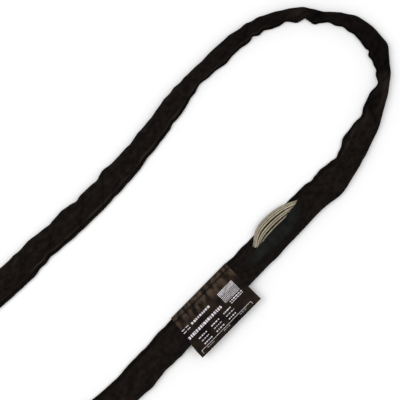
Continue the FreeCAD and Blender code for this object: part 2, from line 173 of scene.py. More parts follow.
# Bunches and dents of the jacket's edges: millimetres along, in or out, and half the length.
OUTER_BUNCHES = [
    (60, 0.9, 6), (88, 1.7, 12), (125, -1.2, 6), (151, 1.8, 9), (175, -2.4, 6), (215, -1.4, 6),
    (233, 2.6, 9), (286, -1.1, 6), (305, 0.9, 5), (335, -0.8, 6), (365, 1.2, 7), (386, 1.6, 7),
    (405, 1.0, 5), (437, -0.8, 8), (490, 1.3, 9), (516, 1.5, 6), (535, 1.4, 7), (568, -0.6, 6),
    (596, 1.1, 6), (624, -1.9, 9), (647, 0.9, 6), (668, 1.2, 7), (720, 3.0, 9), (744, -0.9, 7),
    (768, -0.9, 9), (828, 1.8, 16), (878, -0.8, 6), (927, 4.8, 20), (1055, 0.8, 9),
    (1245, 1.1, 6), (1275, -1.3, 8), (1306, 1.5, 9),
]
INNER_BUNCHES = [
    (74, -2.0, 8), (96, -2.8, 9), (118, -0.7, 14), (216, -0.7, 5), (242, -1.2, 7),
    (285, -1.5, 10), (346, -1.5, 6), (390, -2.4, 9), (411, -3.8, 11), (460, 2.2, 12),
    (492, -1.2, 6), (516, -3.3, 5), (534, -3.2, 8), (570, -2.4, 7), (586, 2.0, 5), (600, -3.8, 5),
    (615, 2.8, 5), (635, -3.6, 10), (656, -3.0, 9), (677, -1.1, 9), (716, -2.6, 4), (725, 2.2, 5),
    (750, -2.4, 6), (772, -5.9, 10), (823, -4.6, 9), (860, 4.0, 13), (895, -2.3, 6),
    (926, 1.3, 6), (945, -1.7, 5), (1270, -1.1, 14), (1335, -1.5, 22),
]
# Creases pressed into the top: millimetres along, how far they slant back for each
# millimetre aside, depth and half width.
CREASES = [
    (60, 0.9, 0.6, 3.0), (118, 1.4, 0.6, 2.6), (176, 1.2, 0.8, 2.6),
    (216, 1.0, 0.8, 2.6), (262, -0.8, 0.6, 2.4), (290, 1.3, 0.7, 2.6), (338, 1.0, 0.6, 2.4),
    (432, 1.0, 0.6, 2.4), (478, -1.2, 0.6, 2.4), (512, 1.1, 1.0, 2.6),
    (560, 1.3, 0.8, 2.6), (578, 1.8, 0.9, 2.4), (600, 1.3, 1.3, 2.4), (620, 1.0, 1.2, 2.8),
    (660, -0.8, 0.6, 2.4), (716, -1.2, 0.9, 2.4), (744, -1.2, 1.3, 2.8), (764, -1.6, 1.2, 2.8),
    (786, -1.4, 0.9, 2.6), (816, 1.0, 1.0, 2.6), (846, -0.9, 0.6, 2.4), (878, 1.2, 0.8, 2.6),
    (905, 0.8, 0.6, 2.4), (950, -1.0, 0.7, 3.6),
]
RIDGE_END = 0.56  # the seam stands up in a ridge as far along as this
BEND_SHADE = (0.43, 0.53, 0.76, 0.86)  # where the painted shade over the bend begins, is full, eases off and ends

# Painted highlights or, below zero, painted shade on the cloth's fold patches: millimetres along
# the loop and aside, half length and half width in millimetres, how much.
SHADES = [
    (380, -9, 12, 3, 0.6), (412, 8, 22, 3, 0.6), (588, 0, 17, 12, 0.55), (616, 0, 8, 12, -1.0),
    (722, 0, 22, 12, -0.4), (745, 0, 7, 12, -1.0), (768, -1, 16, 9, 0.55), (798, -5, 18, 3, 0.45),
    (803, 6, 10, 6, -0.9), (826, 6, 12, 4, 0.3), (862, 14, 34, 2, 0.5),
]

# -------------------------------- camera, light and floor

VIEW_CENTRE = Vector((0.0695, 0.0085, 0.0067))
CAMERA_HEIGHT = 1.313
CAMERA_LENS = 85
CAMERA_ROLL = -42
FLOOR_HALF = 6
FLOOR_DROP = 0.0004  # so that the floor never shows through the cloth that lies on it


def put(name, data):
    """A new object in the scene."""
    made = bpy.data.objects.new(name, data)
    bpy.context.collection.objects.link(made)
    return made


def make_camera():
    """Looks straight down on the loop, rolled so that its legs run up to the right."""
    data = bpy.data.cameras.new("camera")
    data.lens = CAMERA_LENS
    data.clip_end = 20
    camera = put("camera", data)
    camera.location = VIEW_CENTRE + Vector((0, 0, CAMERA_HEIGHT))
    camera.rotation_euler = (0, 0, math.radians(CAMERA_ROLL))
    bpy.context.scene.camera = camera


def softbox(name, place, size, power):
    """A large square light that faces the middle of the loop."""
    data = bpy.data.lights.new(name, "AREA")
    data.size = size
    data.energy = power
    light = put(name, data)
    light.location = place
    light.rotation_euler = Vector(place).to_track_quat("Z", "Y").to_euler()
    light.visible_camera = False


def make_studio():
    """A pale floor under soft light from all round."""
    bpy.context.scene.view_settings.view_transform = "Standard"
    world = bpy.data.worlds.new("studio")
    world.use_nodes = True
    background = world.node_tree.nodes["Background"]
    background.inputs["Color"].default_value = (1, 1, 1, 1)
    background.inputs["Strength"].default_value = 0.75
    bpy.context.scene.world = world
    softbox("key", (-0.9, 1.2, 2.2), size=1.6, power=26)
    softbox("fill", (1.4, -0.8, 1.8), size=1.2, power=8)

    mesh = bpy.data.meshes.new("floor")
    corners = [(x * FLOOR_HALF, y * FLOOR_HALF, 0) for x, y in ((-1, -1), (1, -1), (1, 1), (-1, 1))]
    mesh.from_pydata(corners, [], [(0, 1, 2, 3)])
    floor = put("floor", mesh)
    floor.location.z = -FLOOR_DROP
    paint = Finish("floor_paint", roughness=0.9, specular=0.1)
    paint.set("Base Color", (0.93, 0.93, 0.93, 1))
    mesh.materials.append(paint.material)


# -------------------------------- the loop


def smooth_line(points):
    """Points along the NURBS curve that has these as its control points."""
    curve = bpy.data.curves.new("route", "CURVE")
    curve.dimensions = "3D"
    curve.resolution_u = 24
    spline = curve.splines.new("NURBS")
    spline.points.add(len(points) - 1)
    for control, point in zip(spline.points, points):
        control.co = (*point, 1)
    spline.order_u = 3
    spline.use_endpoint_u = True
    holder = bpy.data.objects.new("route", curve)
    mesh = bpy.data.meshes.new_from_object(holder)
    line = np.array([vertex.co for vertex in mesh.vertices])
    bpy.data.meshes.remove(mesh)
    bpy.data.objects.remove(holder)
    bpy.data.curves.remove(curve)
    return line


def read_table(table, at):
    """Values at these distances in metres, from the smooth line past a table of millimetres and
    values."""
    curve = smooth_line([(place * MM, value, 0) for place, value in table])
    return np.interp(at, curve[:, 0], curve[:, 1])


def smoothstep(low, high, value):
    """0 below low, 1 above high and a smooth climb between."""
    share = np.clip((value - low) / (high - low), 0, 1)
    return share * share * (3 - 2 * share)


def unit(ways):
    """The same ways, each of length 1."""
    return ways / np.linalg.norm(ways, axis=-1)[..., None]


def distances(line):
    """How far along a line of points each of them lies."""
    return np.concatenate([[0], np.cumsum(np.linalg.norm(np.diff(line, axis=0), axis=1))])


class Loop:
    """The body's centreline, with its width, read from the route's smooth curve."""

    def __init__(self):
        first = np.array(ROUTE[0])
        last = np.array(ROUTE[-1])
        closed = [(first + last) / 2, *np.array(ROUTE), (first + last) / 2]
        line = smooth_line([(x, y, 0) for x, y, outer, inner in closed])
        reach = smooth_line([(x, outer, inner) for x, y, outer, inner in closed])
        distance = distances(line)
        self.length = distance[-1]
        count = round(self.length / STATION_STEP)
        self.along = np.arange(count) * self.length / count
        self.middle = np.stack([np.interp(self.along, distance, c) for c in line.T], 1)
        self.outer = np.interp(self.along, distance, reach[:, 1])
        self.inner = np.interp(self.along, distance, reach[:, 2])
        self.flange = np.clip((self.inner - 0.008) * 0.35, 0.0015, FLANGE_WIDTH)
        heading = unit(np.roll(self.middle, -1, 0) - np.roll(self.middle, 1, 0))
        self.inward = np.stack([heading[:, 1], -heading[:, 0], 0 * heading[:, 0]], 1)

    def read(self, values, along):
        """One of the loop's columns of values, at any distance along it."""
        return np.interp(along, self.along, values, period=self.length)

    def place(self, along, aside, height):
        """Points in space from places on the loop."""
        along, aside, height = np.broadcast_arrays(along, aside, height)
        x, y = (
            self.read(self.middle[:, i], along) + self.read(self.inward[:, i], along) * aside
            for i in (0, 1)
        )
        return np.stack([x, y, height], -1)

    def nearest(self, point):
        """How far along the loop its centreline passes this point."""
        gap = np.linalg.norm(self.middle[:, :2] - np.array(point), axis=1)
        return self.along[gap.argmin()]

    def past(self, start, along):
        """How far along lies past start, the shorter way round, negative if before it."""
        return (along - start + self.length / 2) % self.length - self.length / 2


loop = Loop()
WINDOW_AT = loop.nearest(WINDOW_CENTRE)
TAG_AT = loop.nearest(TAG_CENTRE)

# -------------------------------- meshes

RIPPLE_COLUMNS = 12  # random values across the cloth before they come round again


def bspline(share):
    """Weights of four neighbours in a smooth cubic blend."""
    return np.stack([
        (1 - share) ** 3,
        3 * share ** 3 - 6 * share ** 2 + 4,
        -3 * share ** 3 + 3 * share ** 2 + 3 * share + 1,
        share ** 3,
    ]) / 6


def ripple(seed, along, across, cell_along, cell_across):
    """Smooth random values, about -1 to 1, that close up round the loop."""
    cells = max(4, round(loop.length / cell_along))
    rows = along / loop.length * cells
    columns = across / cell_across
    lattice = np.random.default_rng(seed).uniform(-2, 2, (cells, RIPPLE_COLUMNS))
    row = np.floor(rows).astype(int)
    column = np.floor(columns).astype(int)
    row_weights = bspline(rows - row)
    column_weights = bspline(columns - column)
    total = 0
    for i in range(4):
        for j in range(4):
            value = lattice[(row + i - 1) % cells, (column + j - 1) % RIPPLE_COLUMNS]
            total = total + row_weights[i] * column_weights[j] * value
    return total


def grid_faces(rows, columns, closed_rows, closed_columns):
    """Quads over a grid of points that is numbered row by row."""
    row = np.arange(rows if closed_rows else rows - 1)
    column = np.arange(columns if closed_columns else columns - 1)
    row, column = (index.ravel() for index in np.meshgrid(row, column, indexing="ij"))
    next_row = (row + 1) % rows
    next_column = (column + 1) % columns
    faces = np.stack([
        row * columns + column,
        row * columns + next_column,
        next_row * columns + next_column,
        next_row * columns + column,
    ], 1)
    corners = [(row, column), (row, column + 1), (row + 1, column + 1), (row + 1, column)]
    return faces, corners


def new_piece(name, mesh, body, slot, material, *nodes):
    """An object with its finish, in place of these CAD nodes, which rides on a body if one is
    given."""
    piece = put(name, mesh)
    mesh.materials.append(material)
    if body:
        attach(piece, body)
    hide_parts(*nodes)
    return piece


def cloth_mesh(name, points, faces, uvs):
    """A smooth mesh, with a UV for each corner of its faces."""
    mesh = bpy.data.meshes.new(name)
    mesh.from_pydata(points.reshape(-1, 3).tolist(), [], faces)
    layer = mesh.uv_layers.new(name="cloth")
    layer.data.foreach_set("uv", uvs.ravel())
    mesh.polygons.foreach_set("use_smooth", [True] * len(faces))
    mesh.update()
    return mesh


def grid_mesh(name, points, across_size, along_size, closed_rows=False, closed_columns=False,
              flip=False):
    """A smooth mesh over a grid of points.  Its UVs are metres along and across the cloth."""
    rows, columns = points.shape[:2]
    faces, corners = grid_faces(rows, columns, closed_rows, closed_columns)
    along = np.linspace(0, along_size, rows + 1 if closed_rows else rows)
    across = np.linspace(0, across_size, columns + 1 if closed_columns else columns)
    uvs = np.stack([np.stack([along[r], across[c]], 1) for r, c in corners], 1)
    if flip:
        faces = faces[:, ::-1]
        uvs = uvs[:, ::-1]
    return cloth_mesh(name, points, faces.tolist(), uvs)


def mark(mesh, name, values):
    """A named value at each of the mesh's points, for its finish to read."""
    layer = mesh.attributes.new(name, "FLOAT", "POINT")
    layer.data.foreach_set("value", values.astype(np.float32).ravel())


def thicken(piece, thickness, offset):
    """Gives a skin of cloth its thickness."""
    solidify = piece.modifiers.new("cloth_thickness", "SOLIDIFY")
    solidify.thickness = thickness
    solidify.offset = offset
    return solidify


# -------------------------------- finishes


class Finish:
    """A node material being built, with short calls for its nodes."""

    def __init__(self, name, roughness, specular=0.5, metallic=0.0):
        self.material = bpy.data.materials.new(name)
        self.material.use_nodes = True
        self.tree = self.material.node_tree
        self.shader = self.tree.nodes["Principled BSDF"]
        self.place = self.node("TexCoord").outputs["Object"]
        self.set("Roughness", roughness)
        self.set("Specular IOR Level", specular)
        self.set("Metallic", metallic)

    def set(self, socket, value):
        self.shader.inputs[socket].default_value = value

    def node(self, kind, **inputs):
        made = self.tree.nodes.new("ShaderNode" + kind)
        for name, value in inputs.items():
            self.feed(made.inputs[name.replace("_", " ")], value)
        return made

    def feed(self, socket, value):
        if isinstance(value, bpy.types.NodeSocket):
            self.tree.links.new(value, socket)
        else:
            socket.default_value = value

    def cloth_place(self, angle=0.0, stretch=(1, 1)):
        """Metres along and across the cloth, turned by an angle in degrees, then drawn out."""
        uv = self.node("UVMap")
        uv.uv_map = "cloth"
        turn = self.node("Mapping", Vector=uv.outputs["UV"])
        turn.inputs["Rotation"].default_value[2] = math.radians(angle)
        turn.inputs["Scale"].default_value = (1 / stretch[0], 1 / stretch[1], 1)
        return turn.outputs["Vector"]

    def marked(self, name):
        """A value that the mesh holds at its points, or 0."""
        made = self.node("Attribute")
        made.attribute_name = name
        return made.outputs["Fac"]

    def stripes(self, place, direction, period):
        """Even sine stripes across X or Y, with this period in metres."""
        wave = self.node("TexWave", Vector=place, Scale=math.pi / 10 / period)
        wave.bands_direction = direction
        return wave.outputs["Fac"]

    def noise(self, place, size, detail=3.0):
        """Soft noise with features of about this size in metres."""
        made = self.node("TexNoise", Vector=place, Scale=1 / size, Detail=detail)
        return made.outputs["Fac"]

    def math(self, operation, first, second):
        made = self.node("Math")
        made.operation = operation
        self.feed(made.inputs[0], first)
        self.feed(made.inputs[1], second)
        return made.outputs[0]

    def ramp(self, value, low, high, low_colour, high_colour):
        """A colour between two, as value climbs from low to high."""
        made = self.node("ValToRGB", Fac=value)
        for stop, place, colour in zip(made.color_ramp.elements, (low, high),
                                       (low_colour, high_colour)):
            stop.position = place
            stop.color = (*colour, 1)
        return made.outputs["Color"]

    def mix(self, share, first, second, blend="MIX"):
        made = self.node("Mix")
        made.data_type = "RGBA"
        made.blend_type = blend
        self.feed(made.inputs["Factor"], share)
        self.feed(made.inputs[6], first if not isinstance(first, tuple) else (*first, 1))
        self.feed(made.inputs[7], second if not isinstance(second, tuple) else (*second, 1))
        return made.outputs[2]

    def multiply(self, first, second):
        return self.mix(1.0, first, second, "MULTIPLY")

    def grey(self, value, low, high, dark, light):
        """A shade to multiply by, from dark to light as value climbs from low to high."""
        return self.ramp(value, low, high, (dark, dark, dark), (light, light, light))

    def finish(self, colour, height, depth):
        """Joins the colour, and a bump of this depth in metres."""
        self.feed(self.shader.inputs["Base Color"], colour)
        bump = self.node("Bump", Height=height, Distance=depth)
        self.feed(self.shader.inputs["Normal"], bump.outputs["Normal"])
        return self.material


def woven(finish, period):
    """Height of a plain weave with this thread spacing."""
    place = finish.cloth_place()
    warp = finish.stripes(place, "X", period)
    weft = finish.stripes(place, "Y", period)
    return finish.math("MAXIMUM", warp, weft)


JACKET_DARK = (0.0056, 0.0040, 0.0036)
JACKET_LIGHT = (0.0118, 0.0086, 0.0072)
# colour of the painted highlights on the crumples' crests, the seam's ridge, the flange's tip and
# pale fold patches
JACKET_HIGHLIGHT = (0.0330, 0.0240, 0.0180)


def jacket_finish(name, dark, light, painted_highlight, period):
    """Matt woven cloth, crumpled along its length, with painted highlights on the crumples' crests,
    the seam's ridge, the flange's tip and pale fold patches, and painted shade in the crumples'
    hollows, in its creases, over the bend and in its dark fold patches."""
    finish = Finish(name, roughness=0.85, specular=0.03)
    patches = finish.noise(finish.place, 0.007, 6.0)
    colour = finish.ramp(patches, 0.36, 0.66, dark, light)
    crumple = finish.noise(finish.cloth_place(25, (2.2, 1)), 0.007, 6.0)
    streaks = finish.noise(finish.cloth_place(0, (7, 1)), 0.0035, 5.0)
    # Painted highlights: on the crumples' crests, and from the mesh's mark on the seam's ridge, the
    # flange's tip and pale fold patches.
    top_highlight = finish.grey(finish.math("MULTIPLY", crumple, streaks), 0.28, 0.42, 0.0, 0.20)
    highlight_breakup = finish.grey(finish.noise(finish.place, 0.035), 0.42, 0.60, 0.25, 1.0)
    ridge_highlight = finish.math("MULTIPLY", finish.marked("painted_highlight"), highlight_breakup)
    colour = finish.mix(finish.math("MAXIMUM", top_highlight, ridge_highlight), colour, painted_highlight)
    # Painted shade in the crumples' hollows.
    colour = finish.multiply(colour, finish.grey(crumple, 0.32, 0.58, 0.76, 1.10))
    # Painted shade in the pressed creases.
    colour = finish.multiply(colour, finish.grey(finish.marked("crease_shade"), 0.1, 1.0, 1.0, 0.58))
    # Painted shade over the bend and in its dark fold patches.
    colour = finish.multiply(colour, finish.grey(finish.marked("dark"), 0.0, 1.4, 1.0, 0.50))
    weave = woven(finish, period)
    colour = finish.multiply(colour, finish.grey(weave, 0.1, 0.9, 0.72, 1.12))
    fuzz = finish.noise(finish.place, 0.0012, 4.0)
    fibres = finish.math("ADD", weave, fuzz)
    height = finish.math("ADD", finish.math("MULTIPLY", crumple, 6), fibres)
    return finish.finish(colour, height, 0.0003)


def cable_finish():
    """Greasy wire strands, with painted shade on each turn's sides, and more on the turns that lie
    deep under the others.
    """
    finish = Finish("galvanised_cable", roughness=0.45, specular=0.4, metallic=0.35)
    tint = finish.noise(finish.place, 0.006, 4.0)
    colour = finish.ramp(tint, 0.3, 0.7, (0.48, 0.42, 0.30), (0.73, 0.65, 0.49))
    wires = finish.stripes(finish.cloth_place(38), "X", 0.0009)
    colour = finish.multiply(colour, finish.grey(wires, 0.1, 0.8, 0.70, 1.08))
    # Painted shade on each turn's sides and on the deep turns, from the mesh's side mark.
    painted_side_shade = finish.ramp(finish.marked("side"), 0.07, 0.50, (1, 1, 1), (0.10, 0.07, 0.035))
    colour = finish.multiply(colour, painted_side_shade)
    return finish.finish(colour, wires, 0.00016)


def satin_finish(row):
    """Dark satin, gathered by a row of stitches that far down it, with painted highlights on its
    gathers near the row, painted shade in their creases and a line of painted shade along the row.
    """
    finish = Finish("label_satin", roughness=0.55, specular=0.04)
    patches = finish.noise(finish.place, 0.026, 3.0)
    colour = finish.ramp(patches, 0.38, 0.64, (0.0046, 0.0028, 0.0032), (0.0205, 0.0140, 0.0088))
    cloth = finish.cloth_place()
    down = finish.node("SeparateXYZ", Vector=cloth).outputs["Y"]
    from_row = finish.math("ABSOLUTE", finish.math("SUBTRACT", down, row), 0)
    near = finish.grey(from_row, 0.005, 0.020, 1.0, 0.0)
    gathers = finish.noise(finish.cloth_place(12, (1, 2.6)), 0.0075, 3.0)
    # Painted highlights on the gathers near the stitch row, then painted shade in their creases.
    fold_highlight = finish.math("MULTIPLY", near, finish.grey(gathers, 0.42, 0.64, 0.15, 0.95))
    colour = finish.mix(fold_highlight, colour, (0.076, 0.051, 0.034))
    crease_shaded = finish.multiply(colour, finish.grey(gathers, 0.38, 0.54, 0.42, 1.0))
    colour = finish.mix(near, colour, crease_shaded)
    # A line of painted shade in the valley along the stitch row.
    colour = finish.multiply(colour, finish.grey(from_row, 0.0006, 0.0030, 0.10, 1.0))
    weft = finish.stripes(cloth, "Y", 0.0004)
    height = finish.math("ADD", weft, finish.math("MULTIPLY", gathers, 6))
    return finish.finish(colour, height, 0.00006)


def ink_finish():
    finish = Finish("label_ink", roughness=0.6, specular=0.2)
    wear = finish.noise(finish.place, 0.0015, 5.0)
    colour = finish.ramp(wear, 0.3, 0.6, (0.34, 0.30, 0.33), (0.80, 0.76, 0.79))
    weft = finish.stripes(finish.cloth_place(), "Y", 0.0004)
    return finish.finish(colour, weft, 0.00004)


def thread_finish():
    finish = Finish("sewing_thread", roughness=0.7, specular=0.03)
    colour = finish.ramp(finish.noise(finish.place, 0.004), 0.3, 0.7,
                         (0.0046, 0.0036, 0.0030), (0.0095, 0.0074, 0.0062))
    twist = finish.stripes(finish.cloth_place(30), "X", 0.0004)
    return finish.finish(colour, twist, 0.0001)


def closure_finish(name, length, edge):
    """Closure tape, which fades into the jacket's colour at both ends and from edge on across
    it."""
    finish = Finish(name, roughness=0.85, specular=0.03)
    patches = finish.noise(finish.place, 0.012, 5.0)
    colour = finish.ramp(patches, 0.34, 0.66, (0.0062, 0.0070, 0.0067), (0.0146, 0.0154, 0.0136))
    faded = finish.ramp(patches, 0.36, 0.66, (0.0044, 0.0033, 0.0030), (0.0090, 0.0068, 0.0058))
    split = finish.node("SeparateXYZ", Vector=finish.cloth_place())
    offset = finish.math("SUBTRACT", split.outputs["X"], length / 2)
    from_middle = finish.math("ABSOLUTE", offset, 0)
    ragged = finish.math("ADD", finish.math("DIVIDE", from_middle, length),
                         finish.math("MULTIPLY", patches, 0.4))
    ends = finish.grey(ragged, 0.50, 0.74, 0.0, 1.0)
    rim = finish.grey(split.outputs["Y"], edge - 0.002, edge + 0.003, 0.0, 1.0)
    fade = finish.math("MAXIMUM", ends, rim)
    pile = finish.noise(finish.place, 0.0007, 2.0)
    return finish.finish(finish.mix(fade, colour, faded), pile, 0.0004)


def sleeve_finish():
    finish = Finish("swaged_sleeve", roughness=0.35, specular=0.5, metallic=0.9)
    tint = finish.noise(finish.place, 0.002)
    colour = finish.ramp(tint, 0.3, 0.7, (0.5, 0.5, 0.5), (0.7, 0.7, 0.7))
    return finish.finish(colour, finish.noise(finish.place, 0.0006), 0.00005)


def tape_finish():
    finish = Finish("tie_tape", roughness=0.55, specular=0.3)
    tint = finish.noise(finish.place, 0.005)
    colour = finish.ramp(tint, 0.3, 0.7, (0.30, 0.28, 0.22), (0.45, 0.42, 0.35))
    return finish.finish(colour, finish.noise(finish.place, 0.0008), 0.0001)


JACKET = jacket_finish("jacket_cloth", JACKET_DARK, JACKET_LIGHT, JACKET_HIGHLIGHT, 0.0011)
INNER = jacket_finish("inner_cloth", (0.010, 0.011, 0.010), (0.018, 0.020, 0.018),
                      (0.026, 0.028, 0.025), 0.0009)
CABLE = cable_finish()
SLEEVE = sleeve_finish()
TAPE = tape_finish()
THREAD = thread_finish()
FLAP = closure_finish("flap_cloth", 0.116, 0.019)
CLOSURE = closure_finish("hook_and_loop", 0.108, 0.016)
INK = ink_finish()

# -------------------------------- the jacket


def moved_by(bunches):
    """How far these bunches and dents move an edge of the jacket, at each station."""
    moved = 0 * loop.along
    for at, amount, half_length in bunches:
        gap = loop.past(at * MM, loop.along) / (half_length * MM)
        moved += amount * MM * np.exp(-gap ** 2)
    return moved


class Skin:
    """The jacket's surface as a grid of places on the loop, from the upper lip round the
    outer edge to the lower lip."""

    def __init__(self, inset=0.0, has_flange=True):
        self.along = loop.along[:, None]
        self.inset = inset
        still = 0 * loop.along
        wobble = 0.0003 * ripple(3, loop.along, still, 0.014, 1)
        tip_wobble = 0.0005 * ripple(5, loop.along, still, 0.007, 1)
        self.outer = (loop.outer + moved_by(OUTER_BUNCHES) + wobble - inset)[:, None]
        self.inner = (loop.inner + moved_by(INNER_BUNCHES) - loop.flange - inset)[:, None]
        self.flange = (loop.flange + tip_wobble)[:, None]
        self.flange_wave = (0.0007 * ripple(6, loop.along, still, 0.009, 1))[:, None]

        # The body is calm and full under the label, and calm under the flap.
        tag_gap = np.abs(loop.past(TAG_AT, self.along))
        window_gap = np.abs(loop.past(WINDOW_AT, self.along))
        self.full = smoothstep(0.080, 0.062, tag_gap)
        self.calm = np.maximum(self.full, smoothstep(0.075, 0.060, window_gap))

        # The top, as a share of the half turn over the body, and on to the flange.
        tip = 1.2 if has_flange else 1.0
        back = -loop.past(WINDOW_AT, self.along)
        lip = np.minimum(read_table(LIP, back) * MM - inset, self.inner * 0.999)
        open_end = np.arccos(-lip / self.inner) / math.pi
        is_window = smoothstep(WINDOW_HALF + 0.0025, WINDOW_HALF, np.abs(back))
        end = tip + (open_end - tip) * is_window
        share = np.linspace(0, 1, TOP_COLUMNS)[None, :]
        self.top_aside = self.aside_of(end * share)
        self.top_height = self.top_of(self.top_aside)
        low_turn = np.linspace(0, tip, LOW_COLUMNS + 1)[None, 1:]
        self.low_aside = self.aside_of(low_turn + 0 * self.along)
        self.low_height = self.low_of(self.low_aside)

    def aside_of(self, turn):
        """Aside from a share of the half turn over the body, then out along the flange."""
        lean = -np.cos(math.pi * np.clip(turn, 0, 1))
        body = np.where(lean < 0, lean * self.outer, lean * self.inner)
        return body + np.clip(turn - 1, 0, None) / 0.2 * self.flange

    def flange_lift(self, aside):
        """The flange's waves, which grow towards its tip."""
        share = np.clip((aside - self.inner) / self.flange, 0, 1)
        return np.abs(self.flange_wave) * share ** 2

    def top_of(self, aside):
        reach = np.where(aside < 0, self.outer, self.inner)
        share = np.clip(np.abs(aside) / reach, 0, 1)
        foot = np.where(aside < 0, EDGE_HEIGHT, FLANGE_TOP)
        crown = (1 - share ** (3.2 + 3.8 * self.full)) ** 0.55
        across = aside / 0.010
        fold = 0.0006 * ripple(11, self.along, across, 0.030, 1.0)
        slanted = self.along / loop.length * 3 * RIPPLE_COLUMNS + across * 0.4
        crumple = 0.0004 * ripple(12, self.along, slanted, 0.012, 1.0)
        rest = BODY_HEIGHT - self.inset - foot + 0.0003 * self.full
        loose = crown * (1 - 0.85 * self.calm)
        height = foot + rest * crown + (fold + crumple - self.creases(aside)) * loose
        return height + self.ridge(aside) + self.flange_lift(aside)

    def creases(self, aside):
        """How deep the creases are pressed in."""
        depth = 0 * aside
        for at, slant, deep, half_width in CREASES:
            gap = loop.past(at * MM, self.along) + slant * aside
            depth += deep * MM * np.exp(-(gap / (half_width * MM)) ** 2)
        return depth

    def shade(self, aside):
        """How much painted highlight or, below zero, painted shade the cloth's fold patches get."""
        amount = 0 * aside
        for at, middle, half_length, half_width, much in SHADES:
            gap = loop.past(at * MM, self.along) / (half_length * MM)
            beside = (aside - middle * MM) / (half_width * MM)
            amount += much * np.exp(-gap ** 2 - beside ** 2)
        return amount

    def ridge(self, aside):
        """The seam's ridge, between the body and the flange."""
        is_there = smoothstep(RIDGE_END, RIDGE_END - 0.05, self.along)
        gap = (aside - self.inner + 0.0012) / 0.0012
        return 0.0010 * is_there * np.exp(-gap ** 2)

    def low_of(self, aside):
        reach = np.where(aside < 0, self.outer, self.inner)
        share = np.clip(np.abs(aside) / reach, 0, 1)
        foot = np.where(aside < 0, EDGE_HEIGHT, FLANGE_LOW)
        rise = (foot - self.inset) * (1 - (1 - share ** 4) ** 0.5)
        return self.inset + rise + self.flange_lift(aside)

    def mesh(self, name):
        """The skin as a mesh, marked with painted shade in its creases, painted highlights on the
        seam's ridge, the flange's tip and pale fold patches, and painted shade over the bend and in
        dark fold patches.
        """
        aside = np.concatenate([self.top_aside[:, ::-1], self.low_aside], 1)
        height = np.concatenate([self.top_height[:, ::-1], self.low_height], 1)
        points = loop.place(self.along, aside, height)
        mesh = grid_mesh(name, points, 0.100, loop.length, True, flip=True)
        on_top = np.arange(aside.shape[1]) < TOP_COLUMNS
        # Painted shade in the creases on top.
        mark(mesh, "crease_shade", self.creases(aside) / 0.001 * on_top * (1 - self.calm))
        # Painted highlights on the seam's ridge, the flange's tip and pale fold patches.
        tip = smoothstep(0.55, 0.95, (aside - self.inner) / self.flange)
        painted_highlight = np.maximum(self.ridge(aside) / 0.001, 0.5 * tip * (self.along < RIDGE_END))
        shade = self.shade(aside)
        mark(mesh, "painted_highlight", np.maximum(painted_highlight, shade) * on_top)
        # Painted shade over the bend, less where fold patches get painted highlight and more where
        # they get painted shade.
        begins, full, eases, ends = BEND_SHADE
        bend_shade = smoothstep(begins, full, self.along) * smoothstep(ends, eases, self.along)
        mark(mesh, "dark", np.clip(0.7 * bend_shade - 1.2 * shade, 0, 1.4))
        return mesh

    def height_over(self, spots):
        """Height of the jacket's top over these places."""
        heights = []
        for spot in spots.reshape(-1, 3):
            offsets = spot[:2] - loop.middle[:, :2]
            station = np.linalg.norm(offsets, axis=1).argmin()
            aside = offsets[station] @ loop.inward[station, :2]
            heights.append(np.interp(aside, self.top_aside[station], self.top_height[station]))
        return np.array(heights).reshape(spots.shape[:-1])


def outer_jacket(skin):
    piece = new_piece("outer_jacket_cloth", skin.mesh("outer_jacket"), "sling", "jacket_cloth",
                      JACKET, "outer_jacket")
    thicken(piece, JACKET_CLOTH, -1)
    middle = (skin.inner + skin.flange - skin.outer)[:, 0] / 2
    path = loop.place(loop.along, middle, BODY_HEIGHT / 2).tolist()
    path.append(path[0])


def inner_jacket():
    mesh = Skin(INNER_INSET, False).mesh("inner_jacket")
    piece = new_piece("inner_jacket_cloth", mesh, "sling", "inner_cloth", INNER, "inner_jacket")
    thicken(piece, INNER_CLOTH, -1)


# -------------------------------- the core


def turn_route(number, shift, squeeze):
    """How far back from the window each of a turn's rings lies, how far it leans out, and its
    middle."""
    half_pitches, layer, window_aside, window_height = TURNS[number - 1]
    fine = np.arange(-0.075, 0.082, FINE_RINGS)
    coarse = np.arange(0.090, loop.length - 0.080, COARSE_RINGS)
    back = np.concatenate([fine, coarse])
    along = (WINDOW_AT - back) % loop.length
    near = np.where(back > loop.length / 2, back - loop.length, back)
    lean = read_table(BULGE, near)
    stacked = half_pitches * HALF_PITCH * loop.read(squeeze, along) + loop.read(shift, along)
    spread = stacked + (window_aside * MM - stacked) * lean
    aside = spread * (1 - PINCH * 4 * lean * (1 - lean)) + BULGE_SHIFT * lean
    stack_height = LAYER_HEIGHTS[layer]
    height = stack_height + (window_height * MM - stack_height) * lean
    return near, lean, loop.place(along, aside, height)


